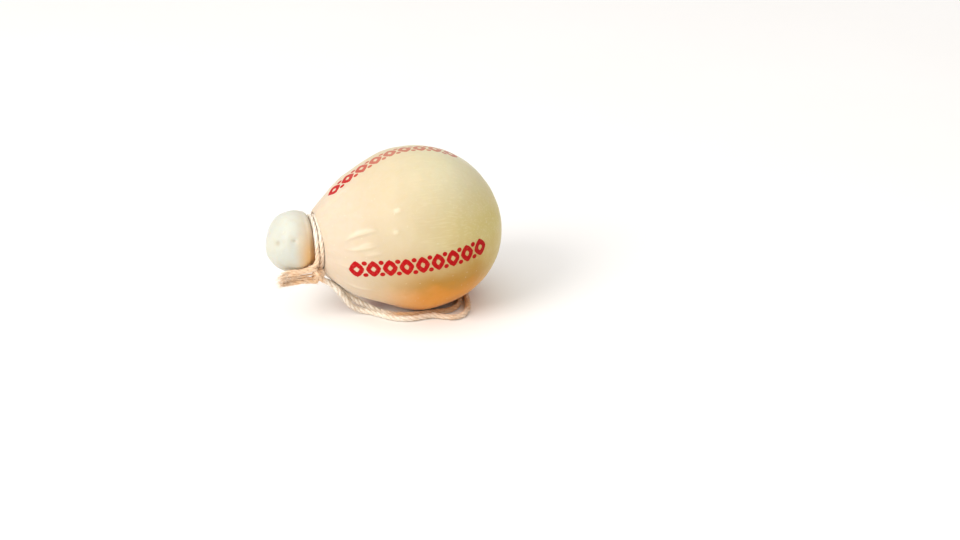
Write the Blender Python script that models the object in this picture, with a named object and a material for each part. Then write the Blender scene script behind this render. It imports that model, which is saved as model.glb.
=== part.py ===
"""A whole caciocavallo: a pear-shaped stretched-curd cheese that lies on its side, with the twine it hung by.

The cheese's axis lies in the XZ plane, with the head at -X and the blunt end at +X. The origin is on the
surface it rests on, under the middle of the cheese. Metres, +Z up.
"""
import bpy
import bmesh
from math import cos, exp, pi, radians, sin, tan
from mathutils import Vector

# ---------------------------------------------------------------- driving dimensions
# Body: a ball that runs into a shoulder and ends at the neck.
# Distances along the axis start at the ball's middle.
BODY_X = 0.0307                     # the ball's middle, along X
BODY_RADIUS = 0.0757
BLUNT_STRETCH = 1.040               # the blunt end is a little longer than a half ball
BLUNT_DROP = 0.0008                 # and hangs a little lower
AXIS_TILT = radians(3.6)            # the head end points a little downwards
SAG = 0.030                         # each section sinks this share of its distance towards the blunt end
FLAT_DEPTH = 0.0025                 # how far the belly has settled flat where it rests
SHOULDER_FROM = radians(27)         # the ball's slope where the shoulder starts
SHOULDER_END = 0.0890               # along the axis, where the shoulder meets the twine
SHOULDER_END_RADIUS = 0.0300
SHOULDER_END_SLOPE = 1.30
# Above, the shoulder bulges over the first turn of twine; in front and below it doesn't.
OVERHANG = 0.0045
OVERHANG_TURN = radians(-5)         # where it is largest, from the top towards -Y
OVERHANG_WIDTH = radians(68)
OVERHANG_FROM = 0.45                # share of the shoulder where it starts
OVERHANG_POWER = 3                  # it grows slowly at first
# The shoulder rounds over into the neck along these steps:
# (distance back from the neck, share of the drop left, share of the overhang).
SHOULDER_LIP = ((0.0003, 0.78, 1.0), (0, 0.64, 0.7), (0, 0.58, 0), (0, 0.12, 0))
# Neck: a groove as wide as two turns of twine.
NECK_RADIUS = 0.0220
NECK_DROP = 0.0010                  # the neck sits below the ball's axis by this much
NECK_FROM = 0.0900
NECK_TO = 0.0989
NECK_FILLET = 0.0010
# Head: a flattened ball, tipped up at the neck.
HEAD_X = -0.0831
HEAD_Z = 0.0727
HEAD_HALF_LENGTH = 0.0236
HEAD_HALF_HEIGHT = 0.0282
HEAD_ROUNDNESS = 2.2                # 2 is an ellipsoid, more is boxier
HEAD_PITCH = radians(20)
HEAD_BACK_ANGLE = 118               # degrees from the head's tip to its last round section
HEAD_STEP = 7                       # degrees between sections of the head
PITS = (                            # degrees from the tip, degrees round from the top, width, depth
    (50, 72, 0.0030, 0.0016),
    (84, 67, 0.0023, 0.0018),
)
# Pleats that the tight twine gathers round the shoulder.
PLEAT_COUNT = 11
PLEAT_DEPTH = 0.0011
PLEAT_REACH = 0.024                 # they fade away over this distance from the twine

# The ball isn't perfectly round: broad, low swells, as on a cheese shaped by hand and hung up.
UNEVENNESS = 0.0006

SIDES = 64                          # points round each section
BALL_STEP = 6.0                     # degrees between sections of the ball
SHOULDER_SECTIONS = 15

# Twine
TWINE_DIAMETER = 0.0050
DRAWN_DIAMETER = 0.0040             # round the neck, where it is drawn tight
GAP = 0.0003                        # between pieces that touch
TURN_AT = (0.0923, 0.0966)          # the two turns round the neck, along the axis
KNOT_ANGLE = radians(142)           # where the knot sits on the turns, from the top towards -Y
STEP_OVER_ANGLE = radians(17)       # under the knot, half the stretch where one turn steps over to the other
END_ANGLE = radians(19)             # from the knot's middle to each end of the binding, which the knot covers
BINDING_POINTS = 69
KNOT_HALF_WIDTH = 0.0086            # along the turns
KNOT_HALF_DEPTH = 0.0048            # along the neck
KNOT_SHIFT = 0.0007                 # it sits a little nearer to the head than the middle of the turns
KNOT_HEIGHT = 0.0072                # out from the turns
KNOT_RIDGES = 0.10                  # how far its wraps stand out, as a share of its height

# The hanging loop: from the knot down to the surface, along the belly, back in a bight behind the blunt end,
# and home to the knot beside itself.
LOOP_ROUTE = (
    (-0.0616, -0.0198, 0.0407), (-0.0535, -0.0188, 0.0346), (-0.0470, -0.0180, 0.0272),
    (-0.0408, -0.0169, 0.0180), (-0.0345, -0.0157, 0.0095), (-0.0268, -0.0163, 0.0044),
    (-0.0187, -0.0202, 0.0028), (-0.0110, -0.0275, 0.0028), (-0.0030, -0.0360, 0.0028),
    (0.0065, -0.0420, 0.0028), (0.0170, -0.0440, 0.0028), (0.0275, -0.0430, 0.0028),
    (0.0365, -0.0438, 0.0028), (0.0445, -0.0480, 0.0028), (0.0525, -0.0513, 0.0028),
    (0.0603, -0.0495, 0.0028), (0.0662, -0.0430, 0.0028), (0.0702, -0.0340, 0.0028),
    (0.0729, -0.0230, 0.0028), (0.0746, -0.0110, 0.0028), (0.0760, 0.0010, 0.0028),
    (0.0780, 0.0125, 0.0028), (0.0796, 0.0240, 0.0028), (0.0774, 0.0326, 0.0028),
    (0.0705, 0.0360, 0.0028), (0.0630, 0.0326, 0.0028), (0.0607, 0.0245, 0.0028),
    (0.0644, 0.0150, 0.0028), (0.0675, 0.0050, 0.0028), (0.0684, -0.0060, 0.0028),
    (0.0670, -0.0170, 0.0028), (0.0630, -0.0265, 0.0028), (0.0570, -0.0333, 0.0028),
    (0.0490, -0.0363, 0.0028), (0.0405, -0.0360, 0.0028), (0.0310, -0.0355, 0.0028),
    (0.0215, -0.0358, 0.0028), (0.0130, -0.0350, 0.0028), (0.0052, -0.0325, 0.0028),
    (-0.0020, -0.0283, 0.0028), (-0.0094, -0.0212, 0.0028), (-0.0172, -0.0150, 0.0050),
    (-0.0260, -0.0123, 0.0097), (-0.0350, -0.0120, 0.0165), (-0.0440, -0.0117, 0.0241),
    (-0.0520, -0.0120, 0.0311), (-0.0622, -0.0134, 0.0385),
)
# The two loose ends, under the head.
UPPER_TAIL_ROUTE = (
    (-0.0687, -0.0236, 0.0537), (-0.0755, -0.0236, 0.0525), (-0.0825, -0.0236, 0.0523),
    (-0.0890, -0.0232, 0.0524), (-0.0940, -0.0215, 0.0508), (-0.0982, -0.0205, 0.0480),
)
LOWER_TAIL_ROUTE = (
    (-0.0670, -0.0180, 0.0391), (-0.0740, -0.0180, 0.0398), (-0.0815, -0.0180, 0.0399),
    (-0.0875, -0.0173, 0.0389), (-0.0930, -0.0167, 0.0374), (-0.0976, -0.0165, 0.0375),
)

# ---------------------------------------------------------------- derived places
AXIS = Vector((-cos(AXIS_TILT), 0, -sin(AXIS_TILT)))
ACROSS = Vector((-sin(AXIS_TILT), 0, cos(AXIS_TILT)))
UP = Vector((0, 0, 1))
TO_FRONT = Vector((0, -1, 0))


def clear_scene():
    for thing in list(bpy.data.objects):
        bpy.data.objects.remove(thing, do_unlink=True)


def make_material(name, colour, roughness):
    material = bpy.data.materials.new(name)
    material.use_nodes = True
    shader = material.node_tree.nodes["Principled BSDF"]
    shader.inputs["Base Color"].default_value = (*colour, 1)
    shader.inputs["Roughness"].default_value = roughness
    shader.inputs["Metallic"].default_value = 0
    return material


def add_object(name, data, material):
    thing = bpy.data.objects.new(name, data)
    bpy.context.collection.objects.link(thing)
    data.materials.append(material)
    return thing


# ---------------------------------------------------------------- the cheese
def body_middle_height():
    """Height of the ball's middle: the surface cuts FLAT_DEPTH off the bottom of the ball."""
    return BODY_RADIUS - FLAT_DEPTH


def axis_point(along):
    middle = Vector((BODY_X, 0, body_middle_height()))
    drop = BLUNT_DROP * (min(along, 0) / BODY_RADIUS) ** 2
    return middle + along * AXIS + SAG * along * ACROSS - drop * UP


def shoulder_radius(share):
    """Radius on the shoulder, as a smooth curve from the ball's slope to the slope at the twine."""
    start = BODY_RADIUS * sin(SHOULDER_FROM)
    length = SHOULDER_END - start
    return (
        (2 * share**3 - 3 * share**2 + 1) * BODY_RADIUS * cos(SHOULDER_FROM)
        - (share**3 - 2 * share**2 + share) * length * tan(SHOULDER_FROM)
        + (3 * share**2 - 2 * share**3) * SHOULDER_END_RADIUS
        - (share**3 - share**2) * length * SHOULDER_END_SLOPE
    )


def body_sections():
    """Each section from the blunt end to the head: distance along the axis, radius, share of the overhang."""
    sections = []
    angle = -90 + BALL_STEP
    while angle < SHOULDER_FROM * 180 / pi - 0.5 * BALL_STEP:
        along = BODY_RADIUS * sin(radians(angle))
        if along < 0:
            along *= BLUNT_STRETCH
        sections.append((along, BODY_RADIUS * cos(radians(angle)), 0))
        angle += BALL_STEP
    start = BODY_RADIUS * sin(SHOULDER_FROM)
    for step in range(SHOULDER_SECTIONS + 1):
        share = step / SHOULDER_SECTIONS
        over = (max(share - OVERHANG_FROM, 0) / (1 - OVERHANG_FROM)) ** OVERHANG_POWER
        sections.append((start + share * (SHOULDER_END - start), shoulder_radius(share), over))
    for back, share, over in SHOULDER_LIP:
        sections.append((NECK_FROM - back, NECK_RADIUS + share * (SHOULDER_END_RADIUS - NECK_RADIUS), over))
    for along in (NECK_FROM + NECK_FILLET, (NECK_FROM + NECK_TO) / 2, NECK_TO - NECK_FILLET):
        sections.append((along, NECK_RADIUS, 0))
    return sections


def pleat(along, turn):
    """How far the skin is pressed in between the gathers, at an angle round the axis."""
    wave = sin(PLEAT_COUNT * turn + 0.9 * sin(2 * turn) + 0.6 * sin(3 * turn + 1))
    depth = PLEAT_DEPTH * (1 + 0.45 * sin(2 * turn + 2.2) + 0.3 * sin(5 * turn))
    fade = exp(-((SHOULDER_END - along) / PLEAT_REACH) ** 2)
    return depth * fade * (0.5 - 0.5 * wave) ** 2


def swell(along, turn):
    """Broad, low unevenness of the skin, which fades away at the blunt end and at the twine."""
    share = 1 - (along / SHOULDER_END) ** 2
    return UNEVENNESS * max(share, 0) * (sin(2 * turn + 40 * along + 0.8) + 0.6 * sin(3 * turn - 55 * along))


def overhang(turn):
    """How far the end of the shoulder bulges over the twine, at an angle round the axis."""
    aside = (turn - OVERHANG_TURN + pi) % (2 * pi) - pi
    return OVERHANG * exp(-abs(aside / OVERHANG_WIDTH) ** 3)


def section_points(along, radius, over):
    """The points of one section. Sections turn upright towards the neck, where the twine holds them."""
    share = min(max((along - 0.4 * SHOULDER_END) / (0.6 * SHOULDER_END), 0), 1)
    across = ACROSS.lerp(UP, share).normalized()
    middle = axis_point(along) - NECK_DROP * share**3 * UP
    pleated = 0 < along <= SHOULDER_END
    for side in range(SIDES):
        turn = 2 * pi * side / SIDES
        reach = radius + swell(along, turn) - (pleat(along, turn) if pleated else 0)
        yield middle + over * overhang(turn) * AXIS + reach * (cos(turn) * across + sin(turn) * TO_FRONT)


def head_direction(from_tip, turn):
    return -cos(from_tip) * Vector((1, 0, 0)) + sin(from_tip) * (cos(turn) * UP + sin(turn) * TO_FRONT)


def head_point(from_tip, turn):
    """A point of the head: a tipped, boxy ellipsoid with two small pits, pressed flat behind by the twine."""
    middle = Vector((HEAD_X, 0, HEAD_Z))
    direction = head_direction(from_tip, turn)
    long_way = Vector((-cos(HEAD_PITCH), 0, sin(HEAD_PITCH)))
    ahead = direction.dot(long_way)
    aside = (1 - ahead**2) ** 0.5
    power = HEAD_ROUNDNESS
    reach = ((abs(ahead) / HEAD_HALF_LENGTH) ** power + (aside / HEAD_HALF_HEIGHT) ** power) ** (-1 / power)
    for pit_from_tip, pit_turn, width, depth in PITS:
        pit = head_direction(radians(pit_from_tip), radians(pit_turn))
        distance = direction.angle(pit) * reach
        reach -= depth * exp(-((distance / width) ** 2))
    point = middle + reach * direction
    point.x = min(point.x, axis_point(NECK_TO).x)
    return point


def make_cheese(material):
    mesh = bmesh.new()
    rings = []
    blunt_pole = mesh.verts.new(axis_point(-BODY_RADIUS * BLUNT_STRETCH))
    for section in body_sections():
        rings.append([mesh.verts.new(point) for point in section_points(*section)])
    neck_end = axis_point(NECK_TO) - NECK_DROP * UP
    rings.append([
        mesh.verts.new(neck_end + (NECK_RADIUS + NECK_FILLET / 2) * (cos(turn) * UP + sin(turn) * TO_FRONT))
        for turn in (2 * pi * side / SIDES for side in range(SIDES))
    ])
    for from_tip in range(HEAD_BACK_ANGLE, 0, -HEAD_STEP):
        rings.append([
            mesh.verts.new(head_point(radians(from_tip), 2 * pi * side / SIDES)) for side in range(SIDES)
        ])
    head_pole = mesh.verts.new(head_point(0, 0))
    for first, second in zip(rings, rings[1:]):
        for side in range(SIDES):
            after = (side + 1) % SIDES
            mesh.faces.new((first[side], first[after], second[after], second[side]))
    for side in range(SIDES):
        after = (side + 1) % SIDES
        mesh.faces.new((rings[0][after], rings[0][side], blunt_pole))
        mesh.faces.new((rings[-1][side], rings[-1][after], head_pole))
    # The belly has settled flat on the surface it rests on.
    cut = bmesh.ops.bisect_plane(
        mesh, geom=mesh.verts[:] + mesh.edges[:] + mesh.faces[:], plane_co=(0, 0, 0), plane_no=(0, 0, -1),
        clear_outer=True,
    )
    rim = [piece for piece in cut["geom_cut"] if isinstance(piece, bmesh.types.BMEdge)]
    bmesh.ops.edgenet_fill(mesh, edges=rim)
    bmesh.ops.recalc_face_normals(mesh, faces=mesh.faces[:])
    data = bpy.data.meshes.new("cheese")
    mesh.to_mesh(data)
    mesh.free()
    data.shade_smooth()
    data.set_sharp_from_angle(angle=radians(50))
    return add_object("cheese", data, material)


# ---------------------------------------------------------------- the twine
def smooth_route(points, steps):
    """Points along a smooth curve through the route's own points."""
    points = [Vector(point) for point in points]
    ends = [2 * points[0] - points[1]] + points + [2 * points[-1] - points[-2]]
    route = []
    for before, start, end, after in zip(ends, ends[1:], ends[2:], ends[3:]):
        for step in range(steps):
            t = step / steps
            route.append(0.5 * (
                2 * start + (end - before) * t
                + (2 * before - 5 * start + 4 * end - after) * t**2
                + (3 * start - before - 3 * end + after) * t**3
            ))
    route.append(points[-1])
    return route


def make_twine(name, points, material, diameter=TWINE_DIAMETER):
    curve = bpy.data.curves.new(name, "CURVE")
    curve.dimensions = "3D"
    curve.bevel_depth = diameter / 2
    curve.bevel_resolution = 2
    curve.use_fill_caps = True
    spline = curve.splines.new("POLY")
    spline.points.add(len(points) - 1)
    for place, point in zip(spline.points, points):
        place.co = (*point, 1)
    return add_object(name, curve, material)


def neck_place(along, turn, reach):
    """A place along the axis, round the neck from the top towards the front, and out from its middle."""
    return axis_point(along) - NECK_DROP * UP + reach * (cos(turn) * UP + sin(turn) * TO_FRONT)


def make_neck_binding(material):
    """Two turns side by side; under the knot the twine steps over from the first turn to the second."""
    reach = NECK_RADIUS + DRAWN_DIAMETER / 2 + GAP
    points = []
    for count in range(BINDING_POINTS):
        turn = END_ANGLE + (4 * pi - 2 * END_ANGLE) * count / (BINDING_POINTS - 1)
        share = min(max((turn - 2 * pi + STEP_OVER_ANGLE) / (2 * STEP_OVER_ANGLE), 0), 1)
        share = share * share * (3 - 2 * share)
        along = TURN_AT[0] + share * (TURN_AT[1] - TURN_AT[0])
        points.append(neck_place(along, KNOT_ANGLE + turn, reach))
    return make_twine("neck_binding", points, material, DRAWN_DIAMETER)


def make_knot(material):
    """The knot lies on the turns: a lump of tight twine with three wraps, hollowed to fit round them."""
    inner = NECK_RADIUS + DRAWN_DIAMETER + 2 * GAP
    middle_along = (TURN_AT[0] + TURN_AT[1]) / 2 + KNOT_SHIFT
    mesh = bmesh.new()
    bmesh.ops.create_uvsphere(mesh, u_segments=28, v_segments=16, radius=1)
    for vert in mesh.verts:
        x, y, z = vert.co
        crest = 1 + KNOT_RIDGES * cos(3 * x * pi) * (1 - abs(y))
        out = inner + KNOT_HEIGHT * max(z, 0) * crest
        turn = KNOT_ANGLE + x * KNOT_HALF_WIDTH / (inner + KNOT_HEIGHT / 2)
        along = middle_along + y * KNOT_HALF_DEPTH
        vert.co = neck_place(along, turn, out)
    bmesh.ops.remove_doubles(mesh, verts=mesh.verts[:], dist=1e-6)
    bmesh.ops.recalc_face_normals(mesh, faces=mesh.faces[:])
    data = bpy.data.meshes.new("knot")
    mesh.to_mesh(data)
    mesh.free()
    data.shade_smooth()
    data.set_sharp_from_angle(angle=radians(50))
    return add_object("knot", data, material)


def main():
    clear_scene()
    rind = make_material("cheese_rind", (0.90, 0.76, 0.50), 0.32)
    jute = make_material("twine", (0.80, 0.68, 0.50), 0.85)
    make_cheese(rind)
    make_neck_binding(jute)
    make_knot(jute)
    make_twine("loop_cord", smooth_route(LOOP_ROUTE, 2)[:-1], jute)
    make_twine("tail_upper", smooth_route(UPPER_TAIL_ROUTE, 2), jute)
    make_twine("tail_lower", smooth_route(LOWER_TAIL_ROUTE, 2), jute)


main()
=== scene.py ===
# %% [markdown]
# # A caciocavallo and its twine
# A caciocavallo is a stretched-curd cheese, shaped by hand into a pear with a small round head. Twine is tied
# round the neck, and the cheese hangs by its loop to dry. Here it lies on its side. The measured model gives
# every piece its place, and this script gives each one its real surface: a soft, glossy rind with gathers at
# the neck and a printed ornament, and a hairy three-ply twine. Lengths are in metres, and +Z is up.

# %% Load the measured model
import random
from math import cos, pi, radians, sin, sqrt

import bpy
import numpy as np
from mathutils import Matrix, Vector, noise


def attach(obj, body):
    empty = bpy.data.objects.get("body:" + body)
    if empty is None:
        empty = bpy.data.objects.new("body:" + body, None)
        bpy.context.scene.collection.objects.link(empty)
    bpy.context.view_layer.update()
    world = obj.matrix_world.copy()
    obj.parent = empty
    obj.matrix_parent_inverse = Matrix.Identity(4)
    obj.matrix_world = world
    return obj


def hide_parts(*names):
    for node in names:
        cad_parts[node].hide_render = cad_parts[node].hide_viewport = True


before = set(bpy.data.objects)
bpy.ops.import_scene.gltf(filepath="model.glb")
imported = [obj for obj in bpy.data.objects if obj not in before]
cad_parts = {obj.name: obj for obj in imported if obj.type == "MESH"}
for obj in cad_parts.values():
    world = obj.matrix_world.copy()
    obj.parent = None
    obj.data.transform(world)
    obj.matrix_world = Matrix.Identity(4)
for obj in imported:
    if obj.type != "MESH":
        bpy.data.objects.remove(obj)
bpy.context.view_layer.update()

print("pieces of the frame:", sorted(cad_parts))

# %% [markdown]
# ## Camera
# The picture was taken from a little above, with a long lens. A camera is a place, a turn and a focal length.
# The whole picture is 960 pixels wide, and the sensor 36 mm, so a focal length in pixels gives one in mm.

# %% Camera
IMAGE_WIDTH = 960
SENSOR_MM = 36
FOCAL_PIXELS = 1819.3
CAMERA_PLACE = (-0.3363, -1.4924, 0.7140)
CAMERA_TURN = (radians(66), 0, radians(-16))

bpy.ops.object.camera_add(location=CAMERA_PLACE, rotation=CAMERA_TURN)
camera = bpy.context.active_object
camera.name = "camera"
camera.data.sensor_width = SENSOR_MM
camera.data.lens = FOCAL_PIXELS * SENSOR_MM / IMAGE_WIDTH
camera.data.clip_start = 0.05
bpy.context.scene.camera = camera
print(f"camera with a {camera.data.lens:.1f} mm lens")

# %% [markdown]
# ## Twine
# Twine is three plies laid round each other, and each ply is a bundle of fibres. A curve with a bevel object
# makes such a rope by itself: the bevel object is the outline of three touching plies, and a tilt that grows
# along the curve winds them. The route is a smooth curve through given points, resampled at even steps,
# so that the lay of the plies is even as well.

# %% Routes of the free twine
LOOP_ROUTE = (
    (-0.0616, -0.0198, 0.0407), (-0.0535, -0.0188, 0.0346), (-0.0470, -0.0180, 0.0272),
    (-0.0408, -0.0169, 0.0180), (-0.0345, -0.0157, 0.0095), (-0.0268, -0.0163, 0.0044),
    (-0.0187, -0.0202, 0.0028), (-0.0110, -0.0275, 0.0028), (-0.0030, -0.0360, 0.0028),
    (0.0065, -0.0420, 0.0028), (0.0170, -0.0440, 0.0028), (0.0275, -0.0430, 0.0028),
    (0.0365, -0.0438, 0.0028), (0.0445, -0.0480, 0.0028), (0.0525, -0.0513, 0.0028),
    (0.0603, -0.0495, 0.0028), (0.0662, -0.0430, 0.0028), (0.0702, -0.0340, 0.0028),
    (0.0729, -0.0230, 0.0028), (0.0746, -0.0110, 0.0028), (0.0760, 0.0010, 0.0028),
    (0.0780, 0.0125, 0.0028), (0.0796, 0.0240, 0.0028), (0.0774, 0.0326, 0.0028),
    (0.0705, 0.0360, 0.0028), (0.0630, 0.0326, 0.0028), (0.0607, 0.0245, 0.0028),
    (0.0644, 0.0150, 0.0028), (0.0675, 0.0050, 0.0028), (0.0684, -0.0060, 0.0028),
    (0.0670, -0.0170, 0.0028), (0.0630, -0.0265, 0.0028), (0.0570, -0.0333, 0.0028),
    (0.0490, -0.0363, 0.0028), (0.0405, -0.0360, 0.0028), (0.0310, -0.0355, 0.0028),
    (0.0215, -0.0358, 0.0028), (0.0130, -0.0350, 0.0028), (0.0052, -0.0325, 0.0028),
    (-0.0020, -0.0283, 0.0028), (-0.0094, -0.0212, 0.0028), (-0.0172, -0.0150, 0.0050),
    (-0.0260, -0.0123, 0.0099), (-0.0350, -0.0120, 0.0170), (-0.0440, -0.0117, 0.0250),
    (-0.0520, -0.0120, 0.0321), (-0.0622, -0.0134, 0.0390),
)
UPPER_TAIL_ROUTE = (
    (-0.0687, -0.0236, 0.0537), (-0.0755, -0.0236, 0.0525), (-0.0825, -0.0236, 0.0523),
    (-0.0890, -0.0232, 0.0524), (-0.0940, -0.0215, 0.0508), (-0.0982, -0.0205, 0.0480),
)
LOWER_TAIL_ROUTE = (
    (-0.0670, -0.0180, 0.0391), (-0.0740, -0.0180, 0.0399), (-0.0815, -0.0180, 0.0402),
    (-0.0875, -0.0173, 0.0396), (-0.0930, -0.0167, 0.0387), (-0.0976, -0.0165, 0.0389),
)
TWINE_DIAMETER = 0.0050
DRAWN_DIAMETER = 0.0040             # round the neck, where it is drawn tight
DRAWN_SHARE = DRAWN_DIAMETER / TWINE_DIAMETER

# %% A smooth route at even steps
ROUTE_STEPS = 12                    # points made between two of a route's own


def smooth_route(points, steps=ROUTE_STEPS):
    """Points along a smooth curve through the route's own points."""
    points = [Vector(point) for point in points]
    ends = [2 * points[0] - points[1]] + points + [2 * points[-1] - points[-2]]
    route = []
    for before, start, end, after in zip(ends, ends[1:], ends[2:], ends[3:]):
        for step in range(steps):
            t = step / steps
            route.append(0.5 * (
                2 * start + (end - before) * t
                + (2 * before - 5 * start + 4 * end - after) * t**2
                + (3 * start - before - 3 * end + after) * t**3
            ))
    route.append(points[-1])
    return route


def evenly(points, spacing):
    """The same line with its points at even steps of about the spacing."""
    line = np.array(points)
    gone = np.concatenate(([0], np.cumsum(np.linalg.norm(np.diff(line, axis=0), axis=1))))
    count = max(round(gone[-1] / spacing), 2)
    places = np.linspace(0, gone[-1], count + 1)
    return [Vector(point) for point in np.stack([np.interp(places, gone, way) for way in line.T], axis=1)]


def length_of(points):
    return sum((after - before).length for before, after in zip(points, points[1:]))


RING_STEP = 0.0007
loop_line = evenly(smooth_route(LOOP_ROUTE), RING_STEP)
upper_tail_line = evenly(smooth_route(UPPER_TAIL_ROUTE), RING_STEP)
lower_tail_line = evenly(smooth_route(LOWER_TAIL_ROUTE), RING_STEP)
print(f"loop {length_of(loop_line):.3f} m, tails {length_of(upper_tail_line):.3f}"
      f" and {length_of(lower_tail_line):.3f} m")

# %% Helpers for selecting
def select_only(*things):
    """An operator acts on all that is selected, so the rest is deselected first."""
    bpy.ops.object.select_all(action="DESELECT")
    for thing in things:
        thing.select_set(True)
    bpy.context.view_layer.objects.active = things[-1]


def clean_mesh(thing, merge=1e-6):
    """Merges doubled points and turns every face outwards."""
    select_only(thing)
    bpy.ops.object.mode_set(mode="EDIT")
    bpy.ops.mesh.select_all(action="SELECT")
    bpy.ops.mesh.remove_doubles(threshold=merge)
    bpy.ops.mesh.normals_make_consistent(inside=False)
    bpy.ops.object.mode_set(mode="OBJECT")
    bpy.ops.object.shade_smooth()


def tell(thing):
    triangles = sum(len(face.vertices) - 2 for face in thing.data.polygons)
    print(f"{thing.name}: {triangles} triangles")


# %% Outline of three plies
PLIES = 3
PLY_OFFSET = 0.00098                # from the twine's middle to the middle of a ply
PLY_RADIUS = 0.00152                # a ply is pressed flat against the others, so its round side is wide
PLY_POINTS = 10


def ply_reach(angle):
    """How far the outline of the plies is from the twine's middle, at an angle round it."""
    within = (angle * PLIES / (2 * pi) % 1 - 0.5) * 2 * pi / PLIES
    return PLY_OFFSET * cos(within) + sqrt(PLY_RADIUS**2 - (PLY_OFFSET * sin(within))**2)


section = bpy.data.curves.new("ply_section", "CURVE")
outline = section.splines.new("POLY")
outline.points.add(PLIES * PLY_POINTS - 1)
for number, place in enumerate(outline.points):
    angle = 2 * pi * number / (PLIES * PLY_POINTS)
    place.co = (ply_reach(angle) * cos(angle), ply_reach(angle) * sin(angle), 0, 1)
outline.use_cyclic_u = True
ply_section = bpy.data.objects.new("ply_section", section)
bpy.context.collection.objects.link(ply_section)
print(f"twine is {2 * max(ply_reach(radians(a)) for a in range(120)) * 1000:.2f} mm across its plies")

# %% Lay twine along a line
LAY_LENGTH = 0.0190                 # along the twine, for one full turn of its plies
WANDER = 0.00045                    # the twine isn't drawn perfectly straight
LOOSENESS = 0.16                    # and it is thicker in some places
UNEVEN_LAY = 1.1                    # in radians, how far the plies are from an even twist
WANDER_FINENESS, LAY_FINENESS, THICKNESS_FINENESS = 90, 70, 160
CALM_POINTS = 8                     # at each end the waver grows from nothing over this many points
THIN_TIP = 0.35                     # share of its thickness that a thinned end keeps
WANDER_SEED = 1
noise.seed_set(WANDER_SEED)         # without a seed, noise_vector gives another result on each run


def wandering(line, seed):
    """The line with a slight waver, which is nothing at its ends."""
    line = [Vector(point) for point in line]
    for number in range(1, len(line) - 1):
        ending = min(number, len(line) - 1 - number, CALM_POINTS) / CALM_POINTS
        waver = noise.noise_vector(line[number] * WANDER_FINENESS + Vector((seed, 0, 0)))
        line[number] += WANDER * ending * Vector((waver.x, waver.y, max(waver.z, 0)))
    return line


def lay_twine(name, line, seed, thickness=1.0, thin_ends=0, closed=False):
    """A three-ply twine along the line, as a mesh whose UV map runs along it in centimetres and round it."""
    curve = bpy.data.curves.new(name, "CURVE")
    curve.dimensions = "3D"
    curve.bevel_mode = "OBJECT"
    curve.bevel_object = ply_section
    curve.use_fill_caps = not closed
    spline = curve.splines.new("POLY")
    spline.points.add(len(line) - 1)
    spline.use_cyclic_u = closed
    gone = 0
    for number, (place, point) in enumerate(zip(spline.points, line)):
        gone += (point - line[max(number - 1, 0)]).length
        place.co = (*point, 1)
        unevenness = 0 if closed else UNEVEN_LAY * noise.noise(point * LAY_FINENESS + Vector((seed, 0, 0)))
        place.tilt = 2 * pi * gone / LAY_LENGTH + unevenness
        looseness = LOOSENESS * noise.noise(point * THICKNESS_FINENESS + Vector((0, seed, 0)))
        place.radius = thickness * (1 + looseness)
        to_end = len(line) - 1 - number
        if to_end < thin_ends:
            place.radius *= THIN_TIP + (1 - THIN_TIP) * to_end / thin_ends
    twine = bpy.data.objects.new(name, curve)
    bpy.context.collection.objects.link(twine)
    select_only(twine)
    bpy.ops.object.convert(target="MESH")
    twine = bpy.context.active_object
    map_along = twine.data.uv_layers[0].data
    for corner in map_along:
        corner.uv.x *= gone * 100
    clean_mesh(twine)
    tell(twine)
    return twine


loop = lay_twine("twine_loop", wandering(loop_line, 3), seed=3)
upper_tail = lay_twine("twine_end_upper", upper_tail_line, seed=5, thin_ends=16)
lower_tail = lay_twine("twine_end_lower", lower_tail_line, seed=8, thin_ends=16)

# %% [markdown]
# ## Twine round the neck, and its knot
# Two turns lie side by side in the groove of the neck. Under the knot the twine steps over from one turn to
# the other. The knot is an overhand knot drawn tight, and the path of an overhand knot is a trefoil.

# %% Places round the neck
BALL_X = 0.0307                     # the middle of the cheese's ball
BALL_RADIUS = 0.0757
FLAT_DEPTH = 0.0025                 # the belly has settled flat by this much
BALL_MIDDLE = Vector((BALL_X, 0, BALL_RADIUS - FLAT_DEPTH))
AXIS_TILT = radians(3.6)
AXIS = Vector((-cos(AXIS_TILT), 0, -sin(AXIS_TILT)))
ACROSS = Vector((-sin(AXIS_TILT), 0, cos(AXIS_TILT)))
UP = Vector((0, 0, 1))
TO_FRONT = Vector((0, -1, 0))
SAG = 0.030
NECK_DROP = 0.0010
NECK_RADIUS = 0.0220


def neck_place(along, turn, reach):
    """A place round the neck: along the axis, round from the top to the front, and out from the middle."""
    middle = BALL_MIDDLE + along * AXIS + SAG * along * ACROSS - NECK_DROP * UP
    return middle + reach * (cos(turn) * UP + sin(turn) * TO_FRONT)


# %% Two turns round the neck
TURN_AT = (0.0923, 0.0966)          # along the axis
KNOT_ANGLE = radians(142)
STEP_OVER_ANGLE = radians(17)
BINDING_POINTS = 380

binding_line = []
for count in range(BINDING_POINTS + 1):
    turn = 4 * pi * count / BINDING_POINTS
    share = min(max((turn - 2 * pi + STEP_OVER_ANGLE) / (2 * STEP_OVER_ANGLE), 0), 1)
    share = share * share * (3 - 2 * share)
    along = TURN_AT[0] + share * (TURN_AT[1] - TURN_AT[0])
    binding_line.append(neck_place(along, KNOT_ANGLE + turn, NECK_RADIUS + DRAWN_DIAMETER / 2))
binding = lay_twine("twine_round_neck", wandering(binding_line, 11), seed=11, thickness=DRAWN_SHARE)

# %% Knot
KNOT_POINTS = 150
KNOT_SCALE = Vector((0.0024, 0.00150, 0.0020))   # along the turns, along the neck, outwards
KNOT_OUT = 0.0034                   # from the outside of the turns to the knot's middle
KNOT_SHIFT = 0.0014                 # along the neck, towards the head

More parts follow.
